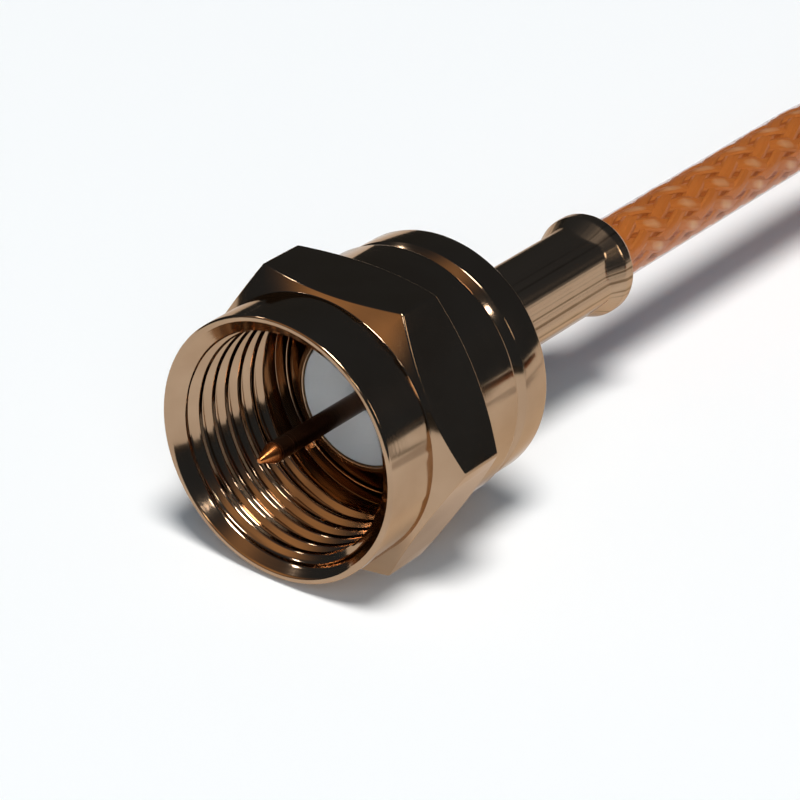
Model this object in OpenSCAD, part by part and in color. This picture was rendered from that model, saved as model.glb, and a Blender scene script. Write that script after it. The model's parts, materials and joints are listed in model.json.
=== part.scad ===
// F-type coaxial plug, crimp pattern, on a thin PTFE coax lead with a second plug at the far end.
// Every plug is turned about the Y axis: its mouth is at y = 0 and looks along -Y, its cable leaves along +Y.
// The lead lies on the plane z = -hex_af / 2, with a flat of each coupling nut on that plane.

/* [Coupling nut] */
// Width across the flats of the hexagon
hex_af = 11.11; // [10.9:0.01:12]
// Length of the nut
nut_len = 8.3; // [8.1:0.05:9.5]
// Diameter of the round front collar
collar_d = 10.7; // [10.5:0.05:10.85]
// Length of the front collar
collar_len = 2.55; // [1.8:0.05:3]
// Length of the hexagon between the roots of its two chamfers
hex_len = 3.35; // [2.8:0.05:4]
// Diameter of the round rear barrel
barrel_d = 10.5; // [10.3:0.05:10.8]
// Angle of the hexagon's chamfers, from the end face
hex_chamfer_angle = 30; // [20:1:35]
// Chamfer on the outer edges of the nut's two ends
nut_edge = 0.12; // [0.05:0.01:0.3]
// Thickness of the thin lip at the mouth
lip_wall = 0.2; // [0.1:0.01:0.35]
// Depth of the countersink inside the lip
countersink_len = 0.45; // [0.3:0.05:0.7]

/* [Coupling thread] */
// Major diameter of the internal thread
thread_major_d = 9.525; // [9.4:0.005:9.6]
// Pitch of the thread
thread_pitch = 0.794; // [0.6:0.001:1]
// Depth of the thread, from crest to root
thread_depth = 0.34; // [0.2:0.01:0.42]
// Width of the flat at the thread's root
thread_root = 0.1; // [0.05:0.01:0.2]
// Where the threaded stretch ends, from the mouth
thread_end = 5.15; // [4:0.05:5.3]
// Diameter of the relief behind the thread
relief_d = 9.7; // [9.55:0.05:10]
// Length of the relief
relief_len = 1.1; // [0.8:0.05:1.2]

/* [Retaining ring] */
// Thickness of the split ring, along the axis
ring_t = 0.6; // [0.4:0.05:0.7]
// Radial width of the split ring
ring_w = 0.95; // [0.7:0.05:1]
// How far the ring reaches into the nut's groove
ring_reach = 0.4; // [0.25:0.05:0.45]
// Gap where the ring is split
ring_split = 1.4; // [0.8:0.1:2.5]
// Distance from the nut's rear face to the middle of the ring
ring_from_rear = 0.6; // [0.5:0.05:0.7]

/* [Connector body] */
// Where the thin lip round the insulator starts, from the mouth
nose_y = 5.2; // [5:0.05:5.5]
// Thickness of that lip
nose_wall = 0.27; // [0.2:0.01:0.5]
// Diameter of the shank that the nut turns on
shank_d = 8.44; // [8:0.02:8.6]
// Gap between the nut and the rear flange
flange_gap = 0.35; // [0.2:0.05:0.8]
// Diameter of the rear flange
flange_d = 10.27; // [9.5:0.01:10.8]
// Length of the rear flange
flange_len = 1.72; // [1.2:0.01:2.5]
// Chamfer on the front edge of the rear flange
flange_front_chamfer = 0.3; // [0.1:0.05:0.5]
// Chamfer on the back edge of the rear flange
flange_back_chamfer = 0.08; // [0.03:0.01:0.3]
// Thickness of the wall behind the insulator
web = 0.47; // [0.3:0.01:0.8]
// Gap between the end of the crimp post and the end of the jacket
post_gap = 0.8; // [0.5:0.1:1.5]

/* [Insulator and contact] */
// Diameter of the insulator bead
bead_d = 5.36; // [5:0.02:5.8]
// How far the bead's face lies behind the lip
bead_recess = 0.05; // [0:0.01:0.3]
// Diameter of the contact pin
pin_d = 0.82; // [0.7:0.01:1]
// How far the pin's tip stands out of the mouth
pin_proud = 0.95; // [0:0.05:2]
// Length of the pin's tapered tip
tip_len = 0.75; // [0.3:0.05:1.2]
// Diameter of the flat on the pin's tip
tip_d = 0.4; // [0.2:0.02:0.6]
// Diameter of the shoulder that seats the contact in the bead
shoulder_d = 1.2; // [1.16:0.02:1.22]
// How far behind the bead's face that shoulder starts
shoulder_depth = 0.1; // [0.08:0.01:0.15]
// Diameter of the contact's rear cup
cup_d = 1.4; // [1.24:0.02:1.5]
// Length of the rear cup
cup_len = 1.85; // [1.5:0.05:2.5]
// Depth of the hole for the conductor in the cup
cup_depth = 1.5; // [1:0.05:1.7]

/* [Crimp ferrule] */
// Overall length of the ferrule
ferrule_len = 10.98; // [10.5:0.01:12]
// Width across the flats of the crimp
crimp_af = 3.56; // [3.46:0.01:3.8]
// How much wider the crimp is over its rounded corners
crimp_crown = 0.3; // [0.2:0.02:0.4]
// Turn of the crimp about the axis
crimp_turn = 5; // [0:1:59]
// Diameter of the uncrimped bell at the rear
bell_d = 4.34; // [4.2:0.01:4.6]
// Length of the bell
bell_len = 1.05; // [0.8:0.05:1.5]
// Length of the cone between the crimp and the bell
bell_step = 0.3; // [0.2:0.05:0.5]
// Wall of the bell
bell_wall = 0.38; // [0.3:0.01:0.45]

/* [Cable] */
// Diameter of the jacket
cable_d = 2.7; // [2.6:0.02:2.8]
// Diameter over the braid
braid_d = 2; // [1.9:0.02:2.2]
// Thickness of the braid
braid_t = 0.21; // [0.15:0.01:0.23]
// Diameter of the dielectric
dielectric_d = 1.52; // [1.4:0.02:1.54]
// Diameter of the conductor
conductor_d = 0.51; // [0.3:0.01:0.6]
// Length of jacket that the ferrule covers
jacket_in_ferrule = 3; // [2:0.1:3.3]

/* [Coil and tie] */
// Radius of the coil at the middle of its turns
coil_r = 13.65; // [13:0.05:15]
// Thickness of the tie's strap
tie_t = 0.4; // [0.3:0.05:0.6]
// Width of the tie's strap
tie_w = 3; // [2:0.1:5]

/* [Clearances] */
// Radial clearance between the crimped ferrule and the jacket
crimp_clear = 0.03; // [0.01:0.01:0.05]
// Radial running clearance between the nut and the body
run_clear = 0.06; // [0.02:0.01:0.1]
// Clearance round the ring in its grooves
ring_clear = 0.05; // [0.03:0.01:0.1]
// Clearance between pieces that are seated in each other
seat = 0.02; // [0.01:0.01:0.03]

/* [Hidden] */
$fn = 96;

// Coupling nut
hex_corner_r = hex_af / 2 / cos(30);
hex_end = collar_len + hex_len;
collar_r = collar_d / 2;
barrel_r = barrel_d / 2;
mouth_r = collar_r - lip_wall;
major_r = thread_major_d / 2;
minor_r = major_r - thread_depth;
relief_r = relief_d / 2;
relief_end = thread_end + relief_len;
shank_r = shank_d / 2;
nut_bore_r = shank_r + run_clear;
// The thread is drawn as level rings, one to each turn
thread_turns = floor((thread_end - countersink_len) / thread_pitch - 0.5);
flank = thread_depth * tan(30);
chamfer_rise = tan(hex_chamfer_angle);
// How far the chamfer cones run on into the round core, so that they leave it cleanly
cone_under = 0.3;

// Retaining ring
ring_y = nut_len - ring_from_rear;
ring_out_r = nut_bore_r + ring_reach;
ring_in_r = ring_out_r - ring_w;
nut_groove_r = ring_out_r + ring_clear;
body_groove_r = ring_in_r - ring_clear;
groove_half = ring_t / 2 + ring_clear;

// The ferrule's bore takes the jacket, and the braid fills it round the post
jacket_r = cable_d / 2;
crimp_bore_r = jacket_r + crimp_clear;
braid_over_r = crimp_bore_r - seat;
post_r = braid_over_r - braid_t - seat;

// Connector body
bead_r = bead_d / 2;
body_bore_r = bead_r + seat;
nose_r = body_bore_r + nose_wall;
shank_y = relief_end + ring_clear;
flange_y = nut_len + flange_gap;
flange_end = flange_y + flange_len;
flange_r = flange_d / 2;
bore_end = flange_end - web;
dielectric_r = dielectric_d / 2;
post_bore_r = dielectric_r + seat;

// Insulator and contact
bead_y = nose_y + bead_recess;
bead_end = bore_end - seat;
pin_r = pin_d / 2;
shoulder_r = shoulder_d / 2;
shoulder_y = bead_y + shoulder_depth;
cup_r = cup_d / 2;
cup_y = bead_end - cup_len;
conductor_r = conductor_d / 2;
conductor_y = bead_end - cup_depth + seat;

// Crimp ferrule
ferrule_y = flange_end + seat;
ferrule_end = ferrule_y + ferrule_len;
crimp_end = ferrule_end - bell_len;
bell_r = bell_d / 2;
bell_bore_r = bell_r - bell_wall;
bell_edge = 0.1;

// Cable inside the plug
jacket_y = ferrule_end - jacket_in_ferrule;
post_end = jacket_y - post_gap;
braid_r = braid_d / 2;
braid_in_r = braid_r - braid_t;
dielectric_y = bead_end + seat;

// The floor, and where the coil and the far plug lie on it
floor_z = -hex_af / 2;
coil_low = floor_z + tie_t;
coil_turns = 2.5;
coil_y = 54;
coil_top = coil_low + cable_d * (coil_turns + 1);
far_place = [27.3, 18.6, 0];

// Route of the lead from the plug's ferrule to the coil, then from the coil to the far plug's ferrule
run_route = [
    [0, 21.37, 0], [0, 24, 0], [0, 27, 0], [0, 30, 0], [0, 33, 0], [0, 36, 0], [0, 38, 0],
    [0, 40, -0.15], [0, 42, -0.56], [0, 44, -1.18], [0, 46, -1.9], [0, 48, -2.63],
    [0, 50, -3.25], [0, 52, -3.66], [0, 54, -3.8]
];
tail_route = [
    [27.3, 54, 2.95], [27.3, 52, 2.76], [27.3, 50, 2.21], [27.3, 48, 1.48],
    [27.3, 46, 0.74], [27.3, 44, 0.2], [27.3, 42, 0], [27.3, 39.97, 0]
];
tube_sides = 8;

NICKEL = [0.66, 0.55, 0.45];
STEEL = [0.55, 0.52, 0.48];
COPPER = [0.5, 0.27, 0.16];
PTFE = [0.9, 0.89, 0.88];
AMBER = [0.62, 0.32, 0.15];
SILVER = [0.75, 0.66, 0.58];
STRAP = [0.12, 0.12, 0.13];

// Turns a profile of [radius, y] points about the Y axis
module turned(profile, angle = 360) {
    rotate([-90, 0, 0])
        rotate_extrude(angle = angle)
            polygon(profile);
}

// A hexagonal bar about the Y axis, with a flat facing down when turn is 0
module hex_bar(across, from_y, to_y, turn = 0) {
    translate([0, from_y, 0])
        rotate([-90, turn, 0])
            cylinder(r = across / 2 / cos(30), h = to_y - from_y, $fn = 6);
}

// A tube of tube_sides sides swept along a route that stays in an upright plane along Y
module swept_tube(route, r) {
    last = len(route) - 1;
    function heading(i) = route[min(i + 1, last)] - route[max(i - 1, 0)];
    function across(i) = cross(heading(i), [1, 0, 0]) / norm(cross(heading(i), [1, 0, 0]));
    points = [
        for (i = [0 : last], k = [0 : tube_sides - 1])
            let (a = 360 * (k + 0.5) / tube_sides)
            route[i] + r * cos(a) * [1, 0, 0] + r * sin(a) * across(i)
    ];
    sides = [
        for (i = [0 : last - 1], k = [0 : tube_sides - 1])
            let (n = (k + 1) % tube_sides, a = i * tube_sides, b = a + tube_sides)
            [a + k, b + k, b + n, a + n]
    ];
    near_cap = [for (k = [0 : tube_sides - 1]) k];
    far_cap = [for (k = [tube_sides - 1 : -1 : 0]) last * tube_sides + k];
    polyhedron(points, concat([near_cap], sides, [far_cap]));
}

// One ring of the thread's V groove, as [radius, y] points round its middle
function thread_ring(y) = [
    [minor_r, y - thread_root / 2 - flank],
    [major_r, y - thread_root / 2],
    [major_r, y + thread_root / 2],
    [minor_r, y + thread_root / 2 + flank]
];

// Everything that is cut out of the nut: countersink, thread, relief, bore and ring groove
module nut_cavity() {
    thread = [
        for (i = [1 : thread_turns])
            each thread_ring(countersink_len + i * thread_pitch)
    ];
    turned(concat(
        [[0, -1], [mouth_r, -1], [mouth_r, 0], [minor_r, countersink_len]],
        thread,
        [
            [minor_r, thread_end],
            [relief_r, thread_end + relief_r - minor_r],
            [relief_r, relief_end],
            [nut_bore_r, relief_end],
            [nut_bore_r, ring_y - groove_half],
            [nut_groove_r, ring_y - groove_half],
            [nut_groove_r, ring_y + groove_half],
            [nut_bore_r, ring_y + groove_half],
            [nut_bore_r, nut_len + 1],
            [0, nut_len + 1]
        ]
    ));
}

// Round collar and barrel, with the hexagon between them cut back by its two chamfer cones
module nut_blank() {
    split_y = collar_len + hex_len / 2;
    turned([
        [0, 0], [collar_r - nut_edge, 0], [collar_r, nut_edge], [collar_r, split_y],
        [barrel_r, split_y], [barrel_r, nut_len - nut_edge], [barrel_r - nut_edge, nut_len],
        [0, nut_len]
    ]);
    outside = hex_corner_r + 0.3;
    front_y = collar_len - cone_under * chamfer_rise;
    rear_y = hex_end + cone_under * chamfer_rise;
    intersection() {
        hex_bar(hex_af, front_y, rear_y);
        turned([
            [0, front_y],
            [collar_r - cone_under, front_y],
            [outside, collar_len + (outside - collar_r) * chamfer_rise],
            [outside, hex_end - (outside - barrel_r) * chamfer_rise],
            [barrel_r - cone_under, rear_y],
            [0, rear_y]
        ]);
    }
}

module coupling_nut() {
    color(NICKEL)
        difference() {
            nut_blank();
            nut_cavity();
        }
}

// Split spring ring, half in the body's groove and half in the nut's
module retaining_ring() {
    split_angle = 2 * asin(ring_split / 2 / ring_in_r);
    color(STEEL)
        rotate([0, split_angle / 2 + 90, 0])
            turned([
                [ring_in_r, ring_y - ring_t / 2], [ring_out_r, ring_y - ring_t / 2],
                [ring_out_r, ring_y + ring_t / 2], [ring_in_r, ring_y + ring_t / 2]
            ], 360 - split_angle);
}

// Turned body: lip, shank with the ring groove, rear flange and hollow crimp post
module connector_body() {
    color(NICKEL)
        turned([
            [body_bore_r, nose_y], [nose_r, nose_y], [nose_r, shank_y],
            [shank_r - nut_edge, shank_y], [shank_r, shank_y + nut_edge],
            [shank_r, ring_y - groove_half], [body_groove_r, ring_y - groove_half],
            [body_groove_r, ring_y + groove_half], [shank_r, ring_y + groove_half],
            [shank_r, flange_y], [flange_r - flange_front_chamfer, flange_y],
            [flange_r, flange_y + flange_front_chamfer],
            [flange_r, flange_end - flange_back_chamfer],
            [flange_r - flange_back_chamfer, flange_end],
            [post_r, flange_end], [post_r, post_end], [post_bore_r, post_end],
            [post_bore_r, bore_end], [body_bore_r, bore_end]
        ]);
}

// PTFE bead, stepped inside for the contact's shoulder and its cup
module insulator() {
    color(PTFE)
        turned([
            [pin_r + seat, bead_y], [bead_r, bead_y], [bead_r, bead_end],
            [cup_r + seat, bead_end], [cup_r + seat, cup_y - seat],
            [shoulder_r + seat, cup_y - seat], [shoulder_r + seat, shoulder_y - seat],
            [pin_r + seat, shoulder_y - seat]
        ]);
}

// Pin with a tapered tip, a shoulder inside the bead and a cup at the back that takes the conductor
module center_contact() {
    hole_r = conductor_r + seat;
    color(COPPER)
        turned([
            [0, -pin_proud], [tip_d / 2, -pin_proud], [pin_r, tip_len - pin_proud],
            [pin_r, shoulder_y], [shoulder_r, shoulder_y],
            [shoulder_r, cup_y], [cup_r, cup_y], [cup_r, bead_end],
            [hole_r, bead_end], [hole_r, bead_end - cup_depth], [0, bead_end - cup_depth]
        ]);
}

// Crimp sleeve: hexagonal where the die has closed it, with a round bell left at the rear
module crimp_ferrule() {
    crimp_corner_r = (crimp_af + crimp_crown) / 2;
    cone_start_r = crimp_bore_r + bell_edge;
    color(NICKEL)
        difference() {
            union() {
                intersection() {
                    hex_bar(crimp_af, ferrule_y, crimp_end + bell_step / 2, crimp_turn);
                    turned([
                        [0, ferrule_y], [crimp_corner_r, ferrule_y],
                        [crimp_corner_r, ferrule_end], [0, ferrule_end]
                    ]);
                }
                turned([
                    [0, crimp_end - bell_step], [cone_start_r, crimp_end - bell_step],
                    [bell_r, crimp_end + bell_step], [bell_r, ferrule_end - bell_edge],
                    [bell_r - bell_edge, ferrule_end], [0, ferrule_end]
                ]);
            }
            turned([
                [0, ferrule_y - 1], [crimp_bore_r, ferrule_y - 1],
                [crimp_bore_r, crimp_end], [bell_bore_r, crimp_end + 2 * bell_step],
                [bell_bore_r, ferrule_end + 1], [0, ferrule_end + 1]
            ]);
        }
}

module cable_conductor() {
    color(SILVER)
        turned([
            [0, conductor_y], [conductor_r, conductor_y],
            [conductor_r, ferrule_end], [0, ferrule_end]
        ]);
}

module cable_dielectric() {
    color(PTFE)
        turned([
            [conductor_r + seat, dielectric_y], [dielectric_r, dielectric_y],
            [dielectric_r, ferrule_end], [conductor_r + seat, ferrule_end]
        ]);
}

// Braid: flared over the crimp post, then back on the dielectric inside the jacket
module cable_braid() {
    flare_end = jacket_y - seat;
    color(SILVER)
        turned([
            [post_r + seat, ferrule_y], [braid_over_r, ferrule_y],
            [braid_over_r, post_end + seat], [braid_r, flare_end], [braid_r, ferrule_end],
            [braid_in_r, ferrule_end], [braid_in_r, flare_end], [post_r + seat, post_end + seat]
        ]);
}

module cable_jacket() {
    color(AMBER)
        turned([
            [braid_r + seat, jacket_y], [jacket_r, jacket_y],
            [jacket_r, ferrule_end], [braid_r + seat, ferrule_end]
        ]);
}

module cable_run() {
    color(AMBER)
        swept_tube(run_route, jacket_r);
}

module cable_tail() {
    color(AMBER)
        swept_tube(tail_route, jacket_r);
}

// Outer shape of the stacked turns
module cable_coil() {
    color(AMBER)
        translate([coil_r, coil_y, 0])
            rotate_extrude()
                translate([coil_r - jacket_r, coil_low])
                    square([cable_d, coil_top - coil_low]);
}

// Strap round the stacked turns, on the side away from the plugs
module coil_tie() {
    corner = jacket_r / 2;
    // The strap lies flat across the bowed side of the coil
    bow = coil_r + jacket_r - sqrt(pow(coil_r + jacket_r, 2) - pow(tie_w / 2, 2));
    inside = [cable_d + 2 * bow, coil_top - coil_low];
    middle_z = (coil_low + coil_top) / 2;
    color(STRAP)
        translate([coil_r - tie_w / 2, coil_y + coil_r, middle_z])
            rotate([90, 0, 90])
                linear_extrude(tie_w)
                    difference() {
                        rounded_box(inside + 2 * [tie_t, tie_t], corner);
                        square(inside + 2 * [seat, seat], center = true);
                    }
}

// A centred rectangle with round corners
module rounded_box(size, r) {
    square([size.x - 2 * r, size.y], center = true);
    square([size.x, size.y - 2 * r], center = true);
    for (x = [-1, 1], y = [-1, 1])
        translate([x * (size.x / 2 - r), y * (size.y / 2 - r)])
            circle(r);
}

module far() {
    translate(far_place)
        children();
}

coupling_nut();
retaining_ring();
connector_body();
insulator();
center_contact();
crimp_ferrule();
cable_conductor();
cable_dielectric();
cable_braid();
cable_jacket();
cable_run();
cable_coil();
coil_tie();
cable_tail();
far() coupling_nut();  // far_coupling_nut
far() retaining_ring();  // far_retaining_ring
far() connector_body();  // far_connector_body
far() insulator();  // far_insulator
far() center_contact();  // far_center_contact
far() crimp_ferrule();  // far_crimp_ferrule
far() cable_conductor();  // far_cable_conductor
far() cable_dielectric();  // far_cable_dielectric
far() cable_braid();  // far_cable_braid
far() cable_jacket();  // far_cable_jacket
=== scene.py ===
# %% [markdown]
# # A patch lead with two F connectors
# The model already exists as exact CAD solids: two threaded coupling nuts, the plugs
# behind them, and the thin coax between. This lesson loads those solids as a fixed
# frame and gives every surface that shows its final form and finish. Lengths are
# written in millimetres, as on a drawing, and multiplied by MM when a mesh is made.

# %% Load the frame
import bpy, bmesh, json, math
import numpy as np
from mathutils import Matrix, Vector

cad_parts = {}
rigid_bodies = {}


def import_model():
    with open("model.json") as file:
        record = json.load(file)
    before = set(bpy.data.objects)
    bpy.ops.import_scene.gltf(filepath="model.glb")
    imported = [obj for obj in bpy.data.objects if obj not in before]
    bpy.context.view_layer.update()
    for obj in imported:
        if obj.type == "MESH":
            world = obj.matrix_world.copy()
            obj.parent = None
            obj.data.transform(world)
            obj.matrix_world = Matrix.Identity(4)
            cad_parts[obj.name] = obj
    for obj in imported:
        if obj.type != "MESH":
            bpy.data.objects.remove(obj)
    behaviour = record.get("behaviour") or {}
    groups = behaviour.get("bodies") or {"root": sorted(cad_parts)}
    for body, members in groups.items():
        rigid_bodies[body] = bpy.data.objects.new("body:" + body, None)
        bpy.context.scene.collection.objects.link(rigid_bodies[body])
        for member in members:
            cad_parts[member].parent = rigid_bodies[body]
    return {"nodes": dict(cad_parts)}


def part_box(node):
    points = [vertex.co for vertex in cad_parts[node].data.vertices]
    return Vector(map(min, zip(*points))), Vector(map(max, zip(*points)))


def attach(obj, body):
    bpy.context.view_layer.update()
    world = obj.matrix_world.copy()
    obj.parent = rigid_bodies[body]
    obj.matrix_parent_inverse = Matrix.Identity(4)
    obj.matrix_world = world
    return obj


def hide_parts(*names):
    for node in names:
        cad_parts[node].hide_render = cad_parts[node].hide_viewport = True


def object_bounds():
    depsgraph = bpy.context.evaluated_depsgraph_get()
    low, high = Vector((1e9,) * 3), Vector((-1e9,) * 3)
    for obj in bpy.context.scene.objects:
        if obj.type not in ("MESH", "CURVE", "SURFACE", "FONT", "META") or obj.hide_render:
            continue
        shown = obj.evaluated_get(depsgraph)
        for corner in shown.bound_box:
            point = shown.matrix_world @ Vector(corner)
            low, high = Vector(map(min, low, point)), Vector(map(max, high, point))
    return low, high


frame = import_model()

MM = 0.001
scene = bpy.context.scene
cad_box = [list(corner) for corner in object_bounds()]
print("CAD nodes:", len(frame["nodes"]), "box in mm:",
      [[round(v / MM, 2) for v in corner] for corner in cad_box])

# %% [markdown]
# ## Writing node trees as sums
# A finish or a growing rule is a formula, and a formula is easiest to read as one.
# The class below wraps one socket, so that + - * / on it add Math nodes. Everything
# that isn't arithmetic comes from one method, Graph.node, which takes the node's
# type, then its settings, then what goes into its sockets. Both kinds of tree,
# shader and geometry, are written with the same two classes.

# %% Value and Graph
class Value:
    """One socket of a node tree that takes part in Python arithmetic."""

    def __init__(self, graph, socket):
        self.graph, self.socket = graph, socket

    def other(self, name):
        """Another output of the same node."""
        return Value(self.graph, self.socket.node.outputs[name])

    def math(self, operation, *values, clamp=False):
        return self.graph.node("ShaderNodeMath", {"operation": operation, "use_clamp": clamp},
                               dict(enumerate((self,) + values)))

    def __add__(self, other): return self.math("ADD", other)
    def __sub__(self, other): return self.math("SUBTRACT", other)
    def __mul__(self, other): return self.math("MULTIPLY", other)
    def __truediv__(self, other): return self.math("DIVIDE", other)
    def __rsub__(self, other): return self.math("MULTIPLY", -1).math("ADD", other)
    __radd__, __rmul__ = __add__, __mul__

    def sin(self): return self.math("SINE")
    def cos(self): return self.math("COSINE")
    def fract(self): return self.math("FRACT")
    def size(self): return self.math("ABSOLUTE")
    def clamp(self): return self.math("ADD", 0, clamp=True)
    def over(self, limit): return self.math("GREATER_THAN", limit)


class Graph:
    """A node tree that is filled with one method."""

    def __init__(self, tree):
        tree.nodes.clear()
        self.tree = tree

    def node(self, kind, settings=None, inputs=None, output=0):
        made = self.tree.nodes.new(kind)
        for name, setting in (settings or {}).items():
            setattr(made, name, setting)
        for key, value in (inputs or {}).items():
            socket = made.inputs[key] if isinstance(key, int) else next(
                s for s in made.inputs if s.name == key and s.enabled)
            if isinstance(value, Value):
                self.tree.links.new(value.socket, socket)
            else:
                socket.default_value = value
        if isinstance(output, int):
            return Value(self, made.outputs[output]) if made.outputs else None
        return Value(self, next(s for s in made.outputs if s.name == output and s.enabled))

    def vector(self, operation, *values):
        return self.node("ShaderNodeVectorMath", {"operation": operation}, dict(enumerate(values)))

    def scaled(self, vector, factor):
        return self.node("ShaderNodeVectorMath", {"operation": "SCALE"},
                         {"Vector": vector, "Scale": factor})

    def joined(self, x, y, z):
        return self.node("ShaderNodeCombineXYZ", {}, {"X": x, "Y": y, "Z": z})

    def mixed(self, factor, low, high):
        """A colour between two others."""
        return self.node("ShaderNodeMix", {"data_type": "RGBA"},
                         {"Factor": factor, "A": low, "B": high}, output="Result")


print("node helpers ready")

# %% [markdown]
# ## The camera
# The plug is seen from its mouth side, from the right and a little above, with a
# long lens, so that the hexagon's edges stay nearly parallel. The camera's place is
# written as an azimuth, an elevation and a distance round one point inside the nut,
# and a small roll turns the picture about its middle.

# %% Camera
AIM = Vector((3.159, 3.346, 1.922)) * MM
AZIMUTH, ELEVATION, ROLL = (math.radians(a) for a in (34.60, 28.16, 3.05))
DISTANCE = 129.0 * MM

back = Vector((math.sin(AZIMUTH) * math.cos(ELEVATION),
               -math.cos(AZIMUTH) * math.cos(ELEVATION), math.sin(ELEVATION)))
level = Vector((math.cos(AZIMUTH), math.sin(AZIMUTH), 0))
right = level * math.cos(ROLL) + back.cross(level) * math.sin(ROLL)

camera = bpy.data.objects.new("camera", bpy.data.cameras.new("camera"))
camera.matrix_world = (Matrix.Translation(AIM + back * DISTANCE)
                       @ Matrix((right, back.cross(right), back)).transposed().to_4x4())
camera.data.lens, camera.data.sensor_width = 157.5, 36
camera.data.clip_start = 10 * MM
scene.collection.objects.link(camera)
scene.camera = camera
print("camera at", [round(v / MM, 1) for v in camera.matrix_world.translation], "mm")

# %% [markdown]
# ## The route of the lead
# A cord is settled as a route before it is a shape. It leaves the ferrule straight,
# at the height of the plug's axis, bows down to the table, makes two and a half
# turns that lie on each other, and comes back to the second plug. The points are
# the ones the CAD model uses. A cubic through them gives the free stretches, and a
# rising circle gives the coil. Where the first turn closes, it passes a little
# inside the incoming lead, as a real coil does.

# %% Route
RUN = [(18.37, 0), (21.37, 0), (24, 0), (27, 0), (30, 0), (33, 0), (36, 0), (38, 0),
       (40, -0.15), (42, -0.56), (44, -1.18), (46, -1.9), (48, -2.63), (50, -3.25),
       (52, -3.66), (54, -3.8)]
TAIL = [(54, 2.95), (52, 2.76), (50, 2.21), (48, 1.48), (46, 0.74), (44, 0.2),
        (42, 0), (39.97, 0), (36.97, 0)]
COIL_R, COIL_Y, TURNS = 13.65, 54, 2.5
PINCH_TURN, PINCH_SPAN, PINCH_DEPTH = 0.93, 0.36, 1.3
FAR = Vector((27.3, 18.6, 0)) * MM


def through(points, step):
    """A smooth curve through (y, z) points, as dense y and z."""
    y, z = np.array(points, float).T
    way = np.linspace(0, 1, len(y))
    slope_y, slope_z = np.gradient(y, way), np.gradient(z, way)
    fine = np.linspace(0, 1, int(abs(y[-1] - y[0]) / step) + 1)
    i = np.clip(np.searchsorted(way, fine, side="right") - 1, 0, len(y) - 2)
    gap = way[1] - way[0]
    t = (fine - way[i]) / gap
    h00, h10 = (1 + 2 * t) * (1 - t) ** 2, t * (1 - t) ** 2
    h01, h11 = t * t * (3 - 2 * t), t * t * (t - 1)
    return [h00 * v[i] + h01 * v[i + 1] + gap * (h10 * s[i] + h11 * s[i + 1])
            for v, s in ((y, slope_y), (z, slope_z))]


def lead_route(step=0.5):
    y, z = through(RUN, step)
    run = np.column_stack([0 * y, y, z])
    turn = np.linspace(0, TURNS, 400)[1:-1]
    pinch = np.clip(np.abs(turn - PINCH_TURN) / PINCH_SPAN, 0, 1)
    radius = COIL_R - PINCH_DEPTH * np.cos(pinch * math.pi / 2) ** 2
    angle = math.pi - 2 * math.pi * turn
    coil = np.column_stack([COIL_R + radius * np.cos(angle), COIL_Y + radius * np.sin(angle),
                            RUN[-1][1] + (TAIL[0][1] - RUN[-1][1]) * turn / TURNS])
    y, z = through(TAIL, step)
    tail = np.column_stack([0 * y + 2 * COIL_R, y, z])
    return np.vstack([run, coil, tail]) * MM


route = lead_route()

# %% [markdown]
# ## From points to a piece
# Most pieces here are grids of points with faces between neighbours. One function
# turns such points and faces into an object, welds points that coincide, turns every
# face outwards, and lets each corner's normal follow the larger face beside it, so
# that broad faces stay flat and only the rounded edges shade. The map of each piece
# holds the share of a turn across and the distance in millimetres along.

# %% Making a piece
def settled(mesh):
    """Welds a mesh and turns its faces outwards."""
    work = bmesh.new()
    work.from_mesh(mesh)
    bmesh.ops.remove_doubles(work, verts=work.verts, dist=1e-6)
    bmesh.ops.dissolve_degenerate(work, edges=work.edges, dist=1e-7)
    bmesh.ops.recalc_face_normals(work, faces=work.faces)
    work.to_mesh(mesh)
    work.free()
    mesh.shade_smooth()


def applied(piece):
    """Makes what a piece's modifiers do to it part of its mesh."""
    graph = bpy.context.evaluated_depsgraph_get()
    mesh = bpy.data.meshes.new_from_object(piece.evaluated_get(graph),
                                           preserve_all_data_layers=True, depsgraph=graph)
    piece.modifiers.clear()
    piece.data = mesh
    mesh.name = piece.name
    return piece


def piece_from(name, points, faces, uvs, even=True):
    mesh = bpy.data.meshes.new(name)
    mesh.from_pydata([tuple(point) for point in points], [], faces)
    mesh.uv_layers.new(name="UVMap").data.foreach_set("uv", np.ravel(uvs))
    settled(mesh)
    piece = bpy.data.objects.new(name, mesh)
    scene.collection.objects.link(piece)
    if even:
        piece.modifiers.new("even shading", "WEIGHTED_NORMAL")
        applied(piece)
    return piece


def grid_faces(rows, columns):
    """The faces between neighbouring points of a grid."""
    starts = [r * columns + c for r in range(rows - 1) for c in range(columns - 1)]
    return [(i, i + 1, i + columns + 1, i + columns) for i in starts]


def tube(name, centres, radius, sides):
    """A closed round tube along a line of centres."""
    ahead = np.gradient(centres, axis=0)
    ahead /= np.linalg.norm(ahead, axis=1)[:, None]
    side, rings = np.array([1.0, 0, 0]), []
    angles = np.linspace(0, 2 * math.pi, sides + 1)
    for centre, way in zip(centres, ahead):
        side = side - way * (side @ way)
        side /= np.linalg.norm(side)
        rings.append(centre + radius * (np.cos(angles)[:, None] * side
                                        + np.sin(angles)[:, None] * np.cross(way, side)))
    caps = [np.repeat(end, sides + 1, 0) for end in (centres[:1], centres[-1:])]
    rings = caps[:1] + rings + caps[1:]
    along = np.cumsum([0] + list(np.linalg.norm(np.diff(centres, axis=0), axis=1))) / MM
    along = np.concatenate([[along[0] - radius / MM], along, [along[-1] + radius / MM]])
    places = np.array([(a / (2 * math.pi), d) for d in along for a in angles])
    faces = grid_faces(len(rings), sides + 1)
    return piece_from(name, np.vstack(rings), faces, places[np.ravel(faces)], even=False)


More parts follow.
